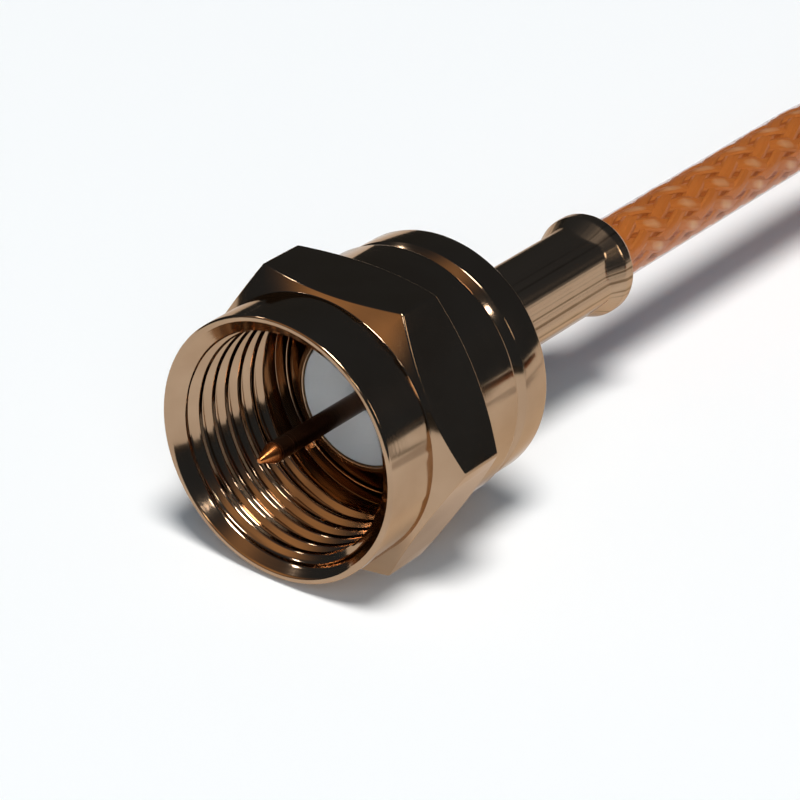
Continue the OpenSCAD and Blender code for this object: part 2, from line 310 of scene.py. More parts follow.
print("piece helpers ready")

# %% [markdown]
# ## The jacket
# The jacket is a clear amber tube. Both of its ends sit inside a crimped ferrule, so
# it starts three millimetres before the point where the lead leaves the plug.

# %% Jacket
JACKET_R = 1.35
jacket = tube("lead_jacket", route, JACKET_R * MM, 40)
print("jacket:", len(jacket.data.polygons), "faces")

# %% [markdown]
# ## The braid under the jacket
# The screen is woven from eight flat ribbons of silvered wire that wind to the left
# and eight that wind to the right, each passing over one and under one. That is a
# rule, so Geometry Nodes grows it. One long strip is copied to sixteen carriers, and
# each point then moves to its place on the lead: its row says how far along, its
# carrier says at what angle, and a cosine lifts the ribbon over its neighbours and
# lets it dip again. Clear plastic bends light and makes the screen look nearly as
# wide as the jacket, so its radius is drawn close under the surface.

# %% A tree with named sizes
def growing_tree(name, sizes):
    """A geometry tree with one named input for each size."""
    tree = bpy.data.node_groups.new(name, "GeometryNodeTree")
    face = tree.interface
    face.new_socket("Geometry", in_out="INPUT", socket_type="NodeSocketGeometry")
    for label, value in sizes.items():
        kind = "NodeSocketInt" if isinstance(value, int) else "NodeSocketFloat"
        face.new_socket(label, in_out="INPUT", socket_type=kind)
    face.new_socket("Geometry", in_out="OUTPUT", socket_type="NodeSocketGeometry")
    graph = Graph(tree)
    return graph, graph.node("NodeGroupInput")


def finish_tree(graph, geometry, material):
    """Ends a tree: plain geometry, welded, smooth and with its finish."""
    real = graph.node("GeometryNodeRealizeInstances", {}, {"Geometry": geometry})
    weld = graph.node("GeometryNodeMergeByDistance", {}, {"Geometry": real, "Distance": 1e-6})
    soft = graph.node("GeometryNodeSetShadeSmooth", {}, {"Geometry": weld, "Shade Smooth": True})
    done = graph.node("GeometryNodeSetMaterial", {}, {"Geometry": soft, "Material": material})
    graph.node("NodeGroupOutput", {}, {"Geometry": done})


def grown(name, graph, sizes, base=None):
    """Runs a tree once and keeps the result as a plain piece."""
    piece = bpy.data.objects.new(name, base or bpy.data.meshes.new(name))
    scene.collection.objects.link(piece)
    modifier = piece.modifiers.new("grow", "NODES")
    modifier.node_group = graph.tree
    for item in graph.tree.interface.items_tree:
        if item.in_out == "INPUT" and item.name in sizes:
            modifier[item.identifier] = sizes[item.name]
    return applied(piece)


def place_map(graph, geometry, u, v):
    """Stores a map on the corners of a geometry."""
    return graph.node("GeometryNodeStoreNamedAttribute",
                      {"data_type": "FLOAT2", "domain": "CORNER"},
                      {"Geometry": geometry, "Name": "UVMap", "Value": graph.joined(u, v, 0.0)})


print("tree helpers ready")

# %% Braid
CORE_R = 1.1
braid_finish = bpy.data.materials.new("silvered braid under amber")
BRAID = {"Carriers": 8, "Steps": 520, "Sides": 6, "Lay": 21.8 * MM, "Radius": 1.19 * MM,
         "Lift": 0.06 * MM, "Width": 0.72 * MM, "Thickness": 0.16 * MM}
graph, sizes = growing_tree("braid", BRAID)
strip = graph.node("GeometryNodeMeshGrid", {}, {
    "Size X": 1.0, "Size Y": 1.0, "Vertices X": sizes.other("Steps") + 1,
    "Vertices Y": sizes.other("Sides") + 1})
carriers = graph.node("GeometryNodePoints", {}, {"Count": sizes.other("Carriers") * 2})
strips = graph.node("GeometryNodeInstanceOnPoints", {}, {"Points": carriers, "Instance": strip})
numbered = graph.node("GeometryNodeStoreNamedAttribute",
                      {"data_type": "FLOAT", "domain": "INSTANCE"},
                      {"Geometry": strips, "Name": "carrier",
                       "Value": graph.node("GeometryNodeInputIndex")})
loose = graph.node("GeometryNodeRealizeInstances", {}, {"Geometry": numbered})

carrier = graph.node("GeometryNodeInputNamedAttribute", {"data_type": "FLOAT"},
                     {"Name": "carrier"}, output="Attribute")
place = graph.node("ShaderNodeSeparateXYZ", {}, {"Vector": graph.node("GeometryNodeInputPosition")})
along, around = place + 0.5, (place.other("Y") + 0.5) * (2 * math.pi)
lead = graph.node("GeometryNodeMeshToCurve", {}, {"Mesh": sizes})
length = graph.node("GeometryNodeCurveLength", {}, {"Curve": lead})
reach = along * length
hand = 1 - 2 * carrier.over(sizes.other("Carriers") - 0.5)
turns = reach / sizes.other("Lay")
open_end = (along * (1 - along) * sizes.other("Steps")).clamp()
# A ribbon is over its neighbour at one crossing and under it at the next
rise = (turns * (2 * math.pi) * sizes.other("Carriers")).cos() * hand
lift = rise * sizes.other("Lift")
radius = sizes.other("Radius") + lift + around.sin() * sizes.other("Thickness") * 0.5 * open_end
angle = ((turns * hand + carrier / sizes.other("Carriers")) * (2 * math.pi)
         + around.cos() * sizes.other("Width") * 0.5 * open_end / sizes.other("Radius"))
spot = graph.node("GeometryNodeSampleCurve", {"mode": "LENGTH"}, {"Curves": lead, "Length": reach},
                  output="Position")
normal, tangent = spot.other("Normal"), spot.other("Tangent")
across = graph.vector("CROSS_PRODUCT", tangent, normal)
aside = graph.vector("ADD", graph.scaled(normal, radius * angle.cos()),
                     graph.scaled(across, radius * angle.sin()))
# Map and glint mask are stored before the points move, while the strip is still flat.
# Where a ribbon lies over its neighbour the finish paints a highlight: a painted glint,
# stronger on the ribbons that wind one way
mapped = place_map(graph, loose, around / (2 * math.pi), reach / MM)
glint_crown = (rise * 0.5 + 0.5) * (0.8 + hand * 0.2)
crowned = graph.node("GeometryNodeStoreNamedAttribute", {"data_type": "FLOAT"},
                     {"Geometry": mapped, "Name": "glint_crown", "Value": glint_crown})
woven = graph.node("GeometryNodeSetPosition", {}, {"Geometry": crowned,
                   "Position": graph.vector("ADD", spot, aside)})
finish_tree(graph, woven, braid_finish)

inner = route[1:-1]
line = bpy.data.meshes.new("braid route")
line.from_pydata([tuple(p) for p in inner], [(i, i + 1) for i in range(len(inner) - 1)], [])
braid = grown("lead_braid", graph, BRAID, line)
# The core under the ribbons is a dark orange tube: painted shade that shows in the gaps of the
# braid
core = tube("lead_braid_core", inner[::3], CORE_R * MM, 24)
print("braid:", len(braid.data.polygons), "faces in", 2 * BRAID["Carriers"], "ribbons")

# %% [markdown]
# ## Turned pieces
# Nut, body, insulator and contact come off a lathe, so each is a profile carried
# round the axis. A real edge is never perfectly sharp, and its small round is what
# catches the light, so every profile corner may carry a fillet, drawn as a true arc.
# The profile may change with the angle, which is how the hexagon is made: its radius
# is that of a flat, and near a corner that of the corner's own small round. The
# columns are crowded towards the corners, where the shape changes fastest.

# %% Lathe
COLUMNS, CROWD = 192, 0.8


def crowded(turn):
    return turn - CROWD / 6 * np.sin(6 * turn - math.pi)


def with_fillets(corners, closed, steps=4):
    """(radius, y, fillet) corners as points, each fillet an arc of some steps."""
    spots = np.array([c[:2] for c in corners], float)
    result = []
    for i, (r, y, fillet) in enumerate(corners):
        if not fillet or (not closed and i in (0, len(corners) - 1)):
            result.append((r, y))
            continue
        before, after = spots[i - 1] - spots[i], spots[(i + 1) % len(spots)] - spots[i]
        long_a, long_b = np.linalg.norm(before), np.linalg.norm(after)
        before, after = before / long_a, after / long_b
        half = math.acos(max(-1, min(1, float(before @ after)))) / 2
        cut = min(fillet / math.tan(half), 0.48 * long_a, 0.48 * long_b)
        start, end, weight = spots[i] + before * cut, spots[i] + after * cut, math.sin(half)
        for t in np.linspace(0, 1, steps + 1):
            parts = (1 - t) ** 2, 2 * t * (1 - t) * weight, t * t
            result.append((parts[0] * start + parts[1] * spots[i] + parts[2] * end) / sum(parts))
    return np.array(result)


def turned(name, profile, columns=COLUMNS, closed=True, extra=None):
    """profile(angle) gives the corners at that angle. extra is a mesh welded to the piece."""
    angles = crowded(np.linspace(0, 2 * math.pi, columns + 1))
    lines = [with_fillets(profile(a), closed) for a in angles]
    if closed:
        lines = [np.vstack([line, line[:1]]) for line in lines]
    lines = np.array(lines)                                   # columns, rows, (r, y)
    r, y = lines[..., 0], lines[..., 1]
    points = np.stack([r * np.sin(angles)[:, None], y, r * np.cos(angles)[:, None]], -1) * MM
    run = np.cumsum(np.linalg.norm(np.diff(lines[0], axis=0, prepend=lines[0][:1]), axis=1))
    places = np.array([(a / (2 * math.pi), d) for a in angles for d in run])
    faces = grid_faces(len(angles), lines.shape[1])
    points, uvs = points.reshape(-1, 3), places[np.ravel(faces)]
    if extra is None:
        return piece_from(name, points, faces, uvs)
    shell = piece_from(name, points, faces, uvs, even=False)
    both = bmesh.new()
    both.from_mesh(shell.data)
    both.from_mesh(extra)
    both.to_mesh(shell.data)
    both.free()
    settled(shell.data)
    shell.modifiers.new("even shading", "WEIGHTED_NORMAL")
    return applied(shell)


def hex_radius(angle, across_flats, fillet, turn=0.0):
    """Distance from the axis to a hexagon with rounded corners."""
    flat, sixth = across_flats / 2, math.pi / 6
    off = abs((angle - turn + sixth) % (2 * sixth) - sixth)
    centre = (flat - fillet) / math.cos(sixth)
    bend = math.atan2(fillet * math.sin(sixth), centre + fillet * math.cos(sixth))
    near = sixth - off
    if near >= bend:
        return flat / math.cos(off)
    return centre * math.cos(near) + math.sqrt(fillet ** 2 - (centre * math.sin(near)) ** 2)


print("hexagon of 11.11 mm, corner at", round(hex_radius(math.pi / 6, 11.11, 0.15), 3), "mm")

# %% [markdown]
# ## The internal thread
# The thread is 3/8-32: a right-handed V groove with a pitch of 0.794 mm. Its surface
# follows a rule too, so Geometry Nodes bends one flat grid into it. The rows of the
# grid climb with the helix, sixteen to a pitch, so that crest, flank and root fall
# exactly on rows and their edges stay clean. The first rows are level instead, and
# make the countersink in which the thread begins.

# %% Thread
CREST_R, MOUTH_R, COLLAR_R, BARREL_R = 4.4225, 5.15, 5.35, 5.25
THREAD_END, HALF_GROOVE, FLANK, PHASE = 5.15, 6 / 16, 5 / 16, 1.25   # the last three in pitches
nickel_finish = bpy.data.materials.new("turned nickel plate")
THREAD = {"Columns": COLUMNS, "Cone rows": 10, "Rows per pitch": 16, "Pitch": 0.794 * MM,
          "Crest radius": CREST_R * MM, "Depth": 0.34 * MM, "Mouth radius": MOUTH_R * MM,
          "Countersink": 0.72 * MM, "End": THREAD_END * MM, "Run-out": 0.3 * MM}
graph, sizes = growing_tree("internal thread", THREAD)
pitch, cone_rows = sizes.other("Pitch"), sizes.other("Cone rows")
countersink, end = sizes.other("Countersink"), sizes.other("End")
helix_turns = ((end - countersink) / pitch + 1).math("CEIL")
rows = cone_rows + helix_turns * sizes.other("Rows per pitch")
sheet = graph.node("GeometryNodeMeshGrid", {}, {
    "Size X": 1.0, "Size Y": 1.0, "Vertices X": sizes.other("Columns") + 1,
    "Vertices Y": rows + 1})
place = graph.node("ShaderNodeSeparateXYZ", {}, {"Vector": graph.node("GeometryNodeInputPosition")})
turn = (place + 0.5) * (2 * math.pi)
angle = turn - (turn * 6 - math.pi).sin() * (CROWD / 6)
share = angle / (2 * math.pi)
row = ((place.other("Y") + 0.5) * rows).math("ROUND")
climbing = countersink + ((row - cone_rows) / sizes.other("Rows per pitch") - 1 + share) * pitch
climbing = climbing.math("MAXIMUM", countersink).math("MINIMUM", end)
on_helix = row.over(cone_rows + 0.5)
y = climbing * on_helix + row / cone_rows * countersink * (1 - on_helix)
# Distance from the middle of the nearest groove, in pitches
off_groove = (((y - countersink) / pitch + PHASE - share).fract() - 0.5).size()
run_out = ((end - y) / sizes.other("Run-out")).clamp()
groove = ((HALF_GROOVE - off_groove) * (1 / FLANK)).clamp() * run_out
crest, mouth = sizes.other("Crest radius"), sizes.other("Mouth radius")
cone = mouth - (mouth - crest) * (y / countersink).clamp()
radius = cone.math("MAXIMUM", crest + sizes.other("Depth") * groove)
mapped = place_map(graph, sheet, share, y / MM)
cut = graph.node("GeometryNodeSetPosition", {}, {"Geometry": mapped,
                 "Position": graph.joined(radius * angle.sin(), y, radius * angle.cos())})
finish_tree(graph, cut, nickel_finish)
thread = grown("thread", graph, THREAD)
print("thread:", len(thread.data.polygons), "faces")

# %% [markdown]
# ## The coupling nut
# The nut is bar stock: a hexagon of 11.11 mm with a round collar in front and a
# round barrel behind. The lathe cuts its two chamfers as cones, and where a cone
# meets a flat it leaves the arc that every hexagon nut shows. In the profile, each
# column runs up the cone until it reaches the hexagon's radius at that angle. The
# inside is bored, grooved for the retaining ring and relieved behind the thread.

# %% Coupling nut
HEX, CORNER = 11.11, 0.15
SLOPE = math.tan(math.radians(30))
COLLAR_END, HEX_END, NUT_END = 2.55, 5.9, 8.3
RELIEF_R, RELIEF_END, BORE_R = 4.85, 6.25, 4.28
RING_FROM, RING_TO, RING_R = 7.35, 8.05, 4.73


def nut_profile(angle):
    hexagon = hex_radius(angle, HEX, CORNER)
    front = COLLAR_END + (hexagon - COLLAR_R) * SLOPE
    rear = HEX_END - (hexagon - BARREL_R) * SLOPE
    return [(CREST_R, THREAD_END, 0), (RELIEF_R, THREAD_END + RELIEF_R - CREST_R, .04),
            (RELIEF_R, RELIEF_END, .04), (BORE_R, RELIEF_END, .06),
            (BORE_R, RING_FROM, .03), (RING_R, RING_FROM, .03),
            (RING_R, RING_TO, .03), (BORE_R, RING_TO, .03),
            (BORE_R, NUT_END, .06), (BARREL_R, NUT_END, .16), (BARREL_R, HEX_END, .05),
            (hexagon, rear, .1), (hexagon, front, .1),
            (COLLAR_R, COLLAR_END, .05), (COLLAR_R, 0, .1), (MOUTH_R, 0, 0)]


nut = turned("nut", nut_profile, closed=False, extra=thread.data)
bpy.data.objects.remove(thread)
print("nut:", len(nut.data.polygons), "faces,", [round(v / MM, 2) for v in nut.dimensions], "mm")

# %% [markdown]
# ## Body, insulator and contact
# Three plain turned pieces sit inside each other. The body has a thin lip round the
# insulator, a shank for the nut to turn on, a rear flange and the post that goes
# under the braid. The insulator is a bead of PTFE. The contact is a pin with a
# tapered tip, a shoulder that seats in the bead and a cup for the conductor.

# %% Body
LIP_BORE, LIP_R, SHANK_R, NECK_R, FLANGE_R = 2.70, 2.97, 4.22, 3.68, 5.135
LIP_FRONT, SHANK_FRONT, FLANGE_FRONT, FLANGE_REAR, FLANGE_EDGE = 5.2, 6.3, 8.65, 10.37, 0.3
POST_R, POST_BORE, POST_END, BEAD_SEAT = 1.13, 0.78, 17.57, 9.9
body = turned("body", lambda angle: [
    (LIP_BORE, LIP_FRONT, .05), (LIP_R, LIP_FRONT, .08), (LIP_R, SHANK_FRONT, .1),
    (SHANK_R, SHANK_FRONT, .15), (SHANK_R, RING_FROM, .03), (NECK_R, RING_FROM, .05),
    (NECK_R, RING_TO, .05), (SHANK_R, RING_TO, .03), (SHANK_R, FLANGE_FRONT, .1),
    (FLANGE_R - FLANGE_EDGE, FLANGE_FRONT, .06), (FLANGE_R, FLANGE_FRONT + FLANGE_EDGE, .06),
    (FLANGE_R, FLANGE_REAR, .1), (POST_R, FLANGE_REAR, .1), (POST_R, POST_END, .05),
    (POST_BORE, POST_END, .05), (POST_BORE, BEAD_SEAT, .05), (LIP_BORE, BEAD_SEAT, .1)])
print("body:", len(body.data.polygons), "faces")

# %% Insulator and contact
BEAD_R, BEAD_FRONT, BEAD_REAR, PLAY = 2.68, 5.25, 9.88, 0.02
PIN_R, TIP_R, TIP_FRONT, TIP_END = 0.41, 0.1, -0.95, -0.15
SHOULDER_R, SHOULDER_FRONT = 0.6, 5.35
CUP_R, CUP_FRONT, CUP_BORE, CUP_BOTTOM = 0.7, 8.03, 0.275, 8.38
bead = turned("bead", lambda angle: [
    (PIN_R + PLAY, BEAD_FRONT, .03), (BEAD_R, BEAD_FRONT, .06), (BEAD_R, BEAD_REAR, .1),
    (CUP_R + PLAY, BEAD_REAR, .02), (CUP_R + PLAY, CUP_FRONT - PLAY, .02),
    (SHOULDER_R + PLAY, CUP_FRONT - PLAY, .02), (SHOULDER_R + PLAY, SHOULDER_FRONT - PLAY, .02),
    (PIN_R + PLAY, SHOULDER_FRONT - PLAY, .02)], columns=96)
contact = turned("contact", lambda angle: [
    (0, TIP_FRONT, 0), (TIP_R, TIP_FRONT, .05), (PIN_R, TIP_END, .3),
    (PIN_R, SHOULDER_FRONT, .02), (SHOULDER_R, SHOULDER_FRONT, .03),
    (SHOULDER_R, CUP_FRONT, .02), (CUP_R, CUP_FRONT, .03), (CUP_R, BEAD_REAR, .05),
    (CUP_BORE, BEAD_REAR, .03), (CUP_BORE, CUP_BOTTOM, .02), (0, CUP_BOTTOM, 0)],
    columns=96, closed=False)
print("contact:", len(contact.data.polygons), "faces")

# %% [markdown]
# ## The crimped ferrule
# The ferrule starts as a round sleeve. A crimping die has closed most of it to a
# hexagon with soft corners, turned a few degrees against the nut, and left a round
# bell at the rear, where the jacket goes in. The same lathe makes it, with the die's
# hexagon as its radius and a gentle flare up to the bell.

# %% Crimped ferrule
DIE_TURN, DIE_FLATS, DIE_CORNER = math.radians(13), 3.56, 0.81
SLEEVE_BORE, SLEEVE_FRONT, SLEEVE_REAR = 1.38, 10.39, 21.37
FLARE_START, FLARE_END, BELL_R, BELL_BORE = 19.72, 20.62, 2.17, 1.79


def ferrule_profile(angle):
    crimp = hex_radius(angle, DIE_FLATS, DIE_CORNER, DIE_TURN)
    return [(SLEEVE_BORE, SLEEVE_FRONT, .03), (crimp, SLEEVE_FRONT, .12),
            (crimp, FLARE_START + (crimp - DIE_FLATS / 2) * 1.5, .5), (BELL_R, FLARE_END, .4),
            (BELL_R, 21.1, .25), (1.97, SLEEVE_REAR, .12), (BELL_BORE, SLEEVE_REAR, .05),
            (BELL_BORE, 20.92, .05), (SLEEVE_BORE, 20.32, .05)]


ferrule = turned("ferrule", ferrule_profile, columns=144)
print("ferrule:", len(ferrule.data.polygons), "faces")

# %% [markdown]
# ## The tie
# A black woven strap goes round the three stacked turns, on the side away from the
# plugs, and its end lies back over itself. It is a strip carried along a rounded
# rectangle, with the overlap as a second layer.

# %% Tie
STEPS_A_LAP, LIFT_FROM, LIFT_SPAN, SHEET = 90, 0.93, 0.05, 0.96
tie_low, tie_high = (np.array(corner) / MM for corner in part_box("coil_tie"))


def strap(name, width, thickness, laps=1.27, corner=1.0):
    """A flat strip wound round a rounded rectangle, its end lying on its start."""
    middle = (tie_low + tie_high) / 2
    half_y, half_z = (tie_high - tie_low)[1:] / 2 - thickness / 2
    loop = []
    for sy, sz, start in ((-1, 1, 90), (-1, -1, 180), (1, -1, 270), (1, 1, 0)):
        for t in np.radians(np.linspace(start, start + 90, 9)):
            loop.append((sy * (half_y - corner) + corner * math.cos(t),
                         sz * (half_z - corner) + corner * math.sin(t)))
    loop = np.array(loop + loop[:1])
    run = np.cumsum(np.linalg.norm(np.diff(loop, axis=0, prepend=loop[:1]), axis=1))
    way = np.linspace(0, laps, int(laps * STEPS_A_LAP))
    lap = np.column_stack([np.interp(way % 1 * run[-1], run, axis) for axis in loop.T])
    lift = np.clip((way - LIFT_FROM) / LIFT_SPAN, 0, 1) * thickness
    ahead = np.gradient(lap, axis=0)
    ahead /= np.linalg.norm(ahead, axis=1)[:, None]
    out = np.column_stack([ahead[:, 1], -ahead[:, 0]])
    section = [(-.5, -.35), (-.42, -.5), (.42, -.5), (.5, -.35),
               (.5, .35), (.42, .5), (-.42, .5), (-.5, .35), (-.5, -.35)]
    rings = [[(middle[0] + a * width, *(middle[1:] + spot + aside * (rise + b * thickness * SHEET)))
              for a, b in section] for spot, aside, rise in zip(lap, out, lift)]
    rings = [[np.mean(rings[0][:8], 0)] * 9] + rings + [[np.mean(rings[-1][:8], 0)] * 9]
    along = np.concatenate([way[:1], way, way[-1:]]) * run[-1]
    places = np.array([(a + .5, d) for d in along for a, b in section])
    faces = grid_faces(len(rings), 9)
    return piece_from(name, np.vstack(rings) * MM, faces, places[np.ravel(faces)])


tie = strap("coil_tie_strap", 3.0, 0.4)
print("tie:", len(tie.data.polygons), "faces")

# %% [markdown]
# ## Finishes
# Every finish is a formula on the piece's own map or on its place in space. Nickel
# plate keeps the lathe's turning lines under it, as a very shallow bump that runs
# round the piece, and its gloss varies a little. The crimp carries the die's marks
# along its length instead, and its colour is darkened in streaks along them: a painted
# reflection of the dented metal.

# %% Finish helpers
def finish_graph(material):
    material.use_nodes = True
    return Graph(material.node_tree)


def principled(graph, **sockets):
    shader = graph.node("ShaderNodeBsdfPrincipled", {}, {
        key.replace("_", " "): value for key, value in sockets.items()})
    graph.node("ShaderNodeOutputMaterial", {}, {"Surface": shader})


def noise(graph, scale, detail=2.0, along=None):
    """Noise in space, or along one line if along is given."""
    if along is not None:
        return graph.node("ShaderNodeTexNoise", {"noise_dimensions": "1D"},
                          {"W": along, "Scale": scale, "Detail": detail})
    return graph.node("ShaderNodeTexNoise", {}, {
        "Vector": graph.node("ShaderNodeTexCoord", output="Object"),
        "Scale": scale, "Detail": detail})


def own_map(graph):
    """The piece's own map: share of a turn, and millimetres along."""
    place = graph.node("ShaderNodeSeparateXYZ", {}, {
        "Vector": graph.node("ShaderNodeUVMap", {"uv_map": "UVMap"})})
    return place, place.other("Y")


def bump(graph, height, depth_mm):
    return graph.node("ShaderNodeBump", {}, {
        "Strength": 1.0, "Distance": depth_mm * MM, "Height": height})


print("finish helpers ready")

# %% Nickel
NICKEL, NICKEL_DEEP = (0.445, 0.305, 0.198, 1), (0.37, 0.24, 0.148, 1)
# Dark streaks painted on the crimp, standing in for the reflections of its dented surface
PAINTED_STREAK_NICKEL = (0.2, 0.12, 0.065, 1)


def nickel(material, lines, line_depth, rough):
    graph = finish_graph(material)
    around, along = own_map(graph)
    wave = noise(graph, 260)
    if lines == "round":
        marks = noise(graph, 9, 4.0, along=along)
        tone_and_painted_streak, deep_tone_and_painted_streak = noise(graph, 420, 3.0) * 2.2 - 0.6, NICKEL_DEEP
    else:
        marks = noise(graph, 60, 3.0, along=around)
        # On the crimp the die's marks also darken the colour in streaks: painted reflection
        tone_and_painted_streak, deep_tone_and_painted_streak = marks * 5.5 - 1.9 + noise(graph, 0.5, 2.0, along=along), PAINTED_STREAK_NICKEL
    height = marks * line_depth + wave * 0.006
    principled(graph, Base_Color=graph.mixed(tone_and_painted_streak.clamp(), deep_tone_and_painted_streak, NICKEL),
               Metallic=1.0, Roughness=rough + marks * 0.06, Specular_Tint=(0.8, 0.66, 0.54, 1),
               Normal=bump(graph, height, 1.0))


nickel(nickel_finish, "round", 0.0012, 0.07)
crimp_finish = bpy.data.materials.new("crimped nickel plate")
nickel(crimp_finish, "along", 0.008, 0.17)
print("nickel finishes ready")

# %% Spring steel, copper, PTFE
spring_finish = bpy.data.materials.new("spring steel")
graph = finish_graph(spring_finish)
grain = noise(graph, 900, 3.0)
principled(graph, Base_Color=graph.mixed(grain, (0.32, 0.30, 0.27, 1), (0.42, 0.39, 0.35, 1)),
           Metallic=1.0, Roughness=0.28 + grain * 0.12)

copper_finish = bpy.data.materials.new("copper pin")
graph = finish_graph(copper_finish)
_, along = own_map(graph)
marks = noise(graph, 14, 3.0, along=along)
stain = noise(graph, 700, 3.0)
# The pin is coloured dark, a painted reflection of the plug's dark inside, and its first millimetre
# is coloured bright copper, a painted highlight
tip = ((1.1 - along) * 4).clamp()
painted_dark_pin = graph.mixed(stain, (0.055, 0.03, 0.02, 1), (0.11, 0.058, 0.036, 1))
principled(graph, Base_Color=graph.mixed(tip, painted_dark_pin, (0.55, 0.19, 0.055, 1)),
           Metallic=1.0, Roughness=0.2 + marks * 0.1, Normal=bump(graph, marks, 0.004))

ptfe_finish = bpy.data.materials.new("ptfe")
graph = finish_graph(ptfe_finish)
_, along = own_map(graph)
marks = noise(graph, 10, 3.0, along=along)
cloud = noise(graph, 500)
principled(graph, Base_Color=graph.mixed(cloud, (0.80, 0.77, 0.74, 1), (0.88, 0.865, 0.85, 1)),
           Roughness=0.42 + cloud * 0.12, Normal=bump(graph, marks, 0.006), Subsurface_Weight=0.15,
           Subsurface_Radius=(1.0, 0.9, 0.8), Subsurface_Scale=0.0006)
print("inner finishes ready")

# %% Braid, core and jacket
graph = finish_graph(braid_finish)
around, along = own_map(graph)
wires = (around * (2 * math.pi * 9)).sin() * 0.5 + 0.5
tarnish = noise(graph, 500, 3.0)
glint_crown = graph.node("ShaderNodeAttribute", {"attribute_name": "glint_crown"}, output="Fac")
across = (around * (2 * math.pi)).cos()
# Where a ribbon lies over its neighbour the colour is lightened to a leaf-shaped painted highlight,
# narrower towards the ribbon's edges, and the gloss rises there a little
painted_glint = ((glint_crown - 0.6) * 2.2 - across * across * 1.5).clamp()
silver = graph.mixed(tarnish, (0.62, 0.19, 0.03, 1), (0.80, 0.29, 0.06, 1))
principled(graph, Base_Color=graph.mixed(painted_glint, silver, (1.0, 0.70, 0.38, 1)),
           Metallic=0.3, Roughness=0.4 + wires * 0.1 - painted_glint * 0.14,
           Normal=bump(graph, wires, 0.012))

core_finish = bpy.data.materials.new("braid shadow layer")
graph = finish_graph(core_finish)
tarnish = noise(graph, 900, 3.0)
principled(graph, Base_Color=graph.mixed(tarnish, (0.40, 0.095, 0.015, 1), (0.56, 0.15, 0.028, 1)),
           Metallic=0.2, Roughness=0.5)

jacket_finish = bpy.data.materials.new("clear amber jacket")
graph = finish_graph(jacket_finish)
ripple = noise(graph, 220)
tint = noise(graph, 350, 2.0)
principled(graph, Base_Color=graph.mixed(tint, (0.38, 0.085, 0.010, 1), (0.50, 0.13, 0.02, 1)),
           Roughness=0.1 + ripple * 0.05, Alpha=0.44, Specular_IOR_Level=0.35, Coat_Weight=0.15,
           Coat_Roughness=0.05,
           Normal=bump(graph, ripple, 0.012))
jacket.data.materials.append(jacket_finish)
core.data.materials.append(core_finish)
print("cable finishes ready")

# %% Strap
strap_finish = bpy.data.materials.new("woven strap")
graph = finish_graph(strap_finish)
across, along = own_map(graph)
warp = (across * (2 * math.pi * 11)).sin() * 0.5 + 0.5
weft = (along * (2 * math.pi * 3.2)).sin() * 0.5 + 0.5
weave = warp * weft + (1 - warp) * (1 - weft)
fuzz = noise(graph, 2500, 3.0)
thread_light = weave * 0.7 + fuzz * 0.3
principled(graph, Base_Color=graph.mixed(thread_light, (0.012, 0.012, 0.014, 1),
                                         (0.05, 0.05, 0.055, 1)),
           Roughness=0.6 + fuzz * 0.2, Sheen_Weight=0.4, Normal=bump(graph, weave, 0.04))
tie.data.materials.append(strap_finish)
print("strap finish ready")

# %% [markdown]
# ## The inner nodes that stay
# The retaining ring, the conductor, the dielectric and the braid's flared end are
# right as they are, so their CAD meshes stay and only get a finish.

# %% Finishes for the CAD nodes that stay
KEPT = {"retaining_ring": spring_finish, "cable_conductor": copper_finish,
        "cable_dielectric": ptfe_finish, "cable_braid": braid_finish}


def dress(node, material):
    mesh = frame["nodes"][node].data
    mesh.materials.clear()
    mesh.materials.append(material)


for prefix in ("", "far_"):
    for node, material in KEPT.items():
        dress(prefix + node, material)
print("kept CAD nodes:", 2 * len(KEPT))

# %% [markdown]
# ## Both plugs join the frame
# The pieces of the second plug are the same pieces, moved to the lead's other end.
# Each piece then stands for its CAD node and rides on that node's body, so that a
# nut turns when its joint turns.

# %% Place, ride and replace
PLUG = [("coupling_nut", nut, nickel_finish, "nickel_plate"),
        ("connector_body", body, nickel_finish, "nickel_plate"),
        ("insulator", bead, ptfe_finish, "ptfe"),
        ("center_contact", contact, copper_finish, "copper_pin"),
        ("crimp_ferrule", ferrule, crimp_finish, "nickel_plate")]

for node, piece, material, slot in PLUG:
    piece.data.materials.clear()
    piece.data.materials.append(material)
    twin_mesh = piece.data.copy()
    twin_mesh.transform(Matrix.Translation(FAR))
    twin = bpy.data.objects.new("far_" + piece.name, twin_mesh)
    scene.collection.objects.link(twin)
    for prefix, each in (("", piece), ("far_", twin)):
        is_nut = node == "coupling_nut"
        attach(each, (prefix + "coupling") if is_nut else "plug")
        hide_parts(prefix + node)
    twin.visible_glossy = False              # the second plug doesn't mirror in the first
print("plug pieces:", 2 * len(PLUG))

# %% The cord
for each, slot in ((jacket, "amber_jacket"), (braid, "silvered_wire"),
                   (core, "silvered_wire"), (tie, "strap")):
    each.visible_glossy = False
    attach(each, "plug")
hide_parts("cable_run", "cable_coil", "cable_tail", "cable_jacket", "far_cable_jacket")
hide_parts("coil_tie")

# %% [markdown]
# ## Floor, lamps and surroundings
# The object lies on a white table under one broad soft lamp. Polished metal has no
# colour of its own: it shows what stands around it. So the floor is plain white in
# reflections, the room above the table is nearly black with a warm glow behind the
# camera, and a few small lamps that only reflections can see put the sparks on edges
# and chamfers.

# %% Floor
FLOOR_Z = cad_box[0][2]
floor = bpy.data.objects.new("floor", bpy.data.meshes.new("floor"))
floor.data.from_pydata([(x, y, FLOOR_Z) for x, y in ((-2, -2), (2, -2), (2, 2), (-2, 2))],
                       [], [(0, 1, 2, 3)])
scene.collection.objects.link(floor)

